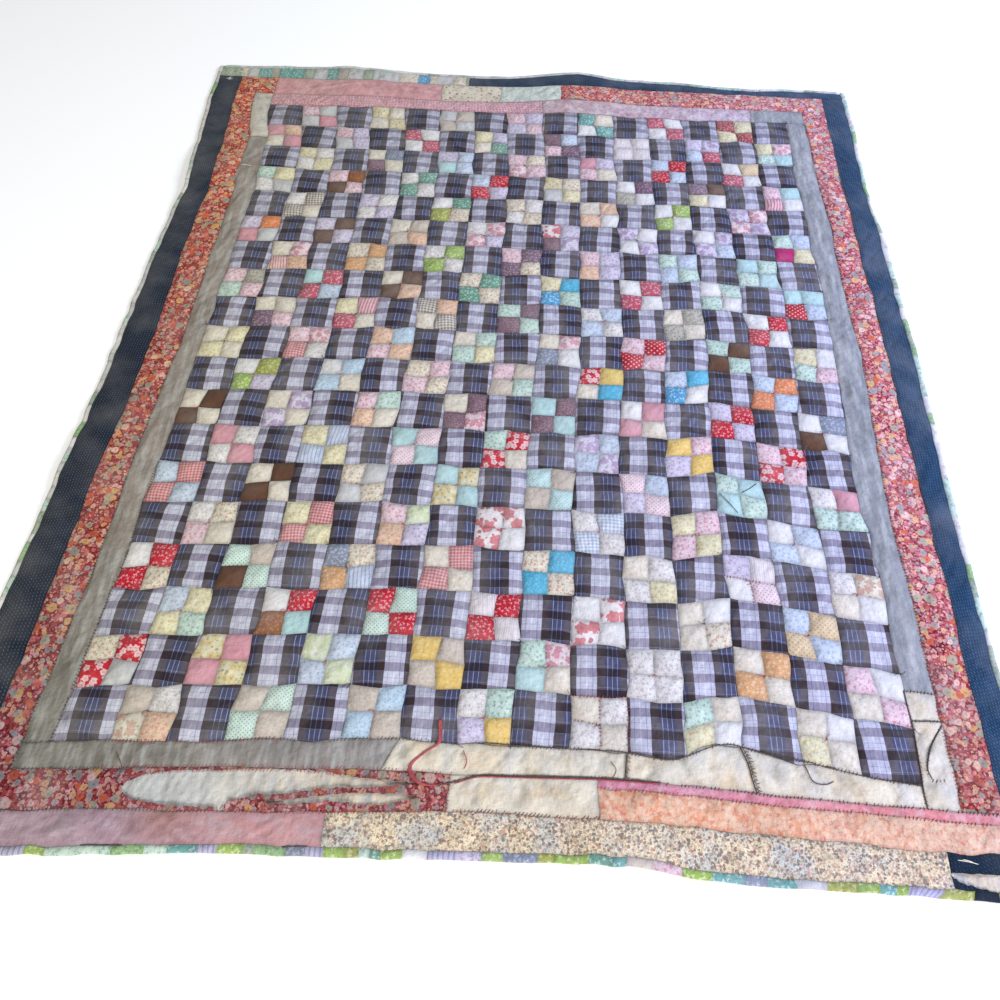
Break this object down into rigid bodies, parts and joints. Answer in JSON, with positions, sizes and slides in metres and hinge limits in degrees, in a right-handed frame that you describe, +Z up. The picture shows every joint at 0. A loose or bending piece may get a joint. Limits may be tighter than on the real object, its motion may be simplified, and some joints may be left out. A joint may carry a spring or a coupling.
{
  "type": "patchwork quilt",
  "caption": "Worn patchwork quilt laid flat: plaid and four-patch blocks, bands of mixed cotton round them, mended ends and a pieced binding.",
  "frame": {"origin": "on the floor under the middle of the quilt's outline", "axes": "+X to the right and +Y from the foot to the head, seen from above; +Z up off the floor, out of the quilt's face"},
  "size_m": [1.965, 2.3626, 0.0145],
  "materials": {
    "cream_muslin": "plain woven cream cotton, worn soft, with faint tea stains",
    "plaid_and_prints": "navy, brown and lavender-grey plaid blocks between four-patch blocks of faded cotton prints",
    "grey_cotton": "plain woven warm grey cotton, faded",
    "red_calico": "red cotton print of small pink, cream, orange and grey-blue flowers",
    "navy_stripe": "navy cotton with fine pale pinstripes",
    "plain_pink": "plain faded pink cotton",
    "pale_green": "pale greenish cream cotton",
    "pink_check": "faded pink checked cotton",
    "lilac_cotton": "plain lilac-pink cotton",
    "rose_cotton": "rose cotton strip",
    "peach_print": "peach and orange cotton print, faded",
    "speckled_print": "cream cotton closely printed with small rust, slate and peach sprigs",
    "pieced_binding": "folded binding pieced from teal, lime, lavender, mint and blue cotton scraps"
  },
  "bodies": {
    "root": {"batting_and_backing": "cream_muslin", "patchwork_centre": "plaid_and_prints", "grey_border_left": "grey_cotton", "grey_border_right": "grey_cotton", "grey_border_foot": "grey_cotton", "grey_corner_head": "grey_cotton", "cream_patch_left": "cream_muslin", "cream_patch_right_high": "cream_muslin", "cream_patch_right_low": "cream_muslin", "red_border_left": "red_calico", "red_border_right": "red_calico", "red_border_head": "red_calico", "red_corner_head": "red_calico", "red_border_foot": "red_calico", "navy_border_left": "navy_stripe", "navy_border_right": "navy_stripe", "navy_strip_head": "navy_stripe", "navy_corner_foot": "navy_stripe", "pink_band_head": "plain_pink", "cream_piece_head": "cream_muslin", "green_piece_head": "pale_green", "pink_check_head": "pink_check", "lilac_band_head": "lilac_cotton", "cream_panel_left": "cream_muslin", "cream_panel_middle": "cream_muslin", "cream_panel_right": "cream_muslin", "cream_panel_low": "cream_muslin", "rose_strip_foot": "rose_cotton", "peach_strip_foot": "peach_print", "lilac_strip_foot": "lilac_cotton", "speckled_strip_foot": "speckled_print", "pieced_band_head": "pieced_binding", "binding_left": "pieced_binding", "binding_right": "pieced_binding", "binding_foot": "pieced_binding", "binding_head": "pieced_binding"}
  },
  "joints": []
}
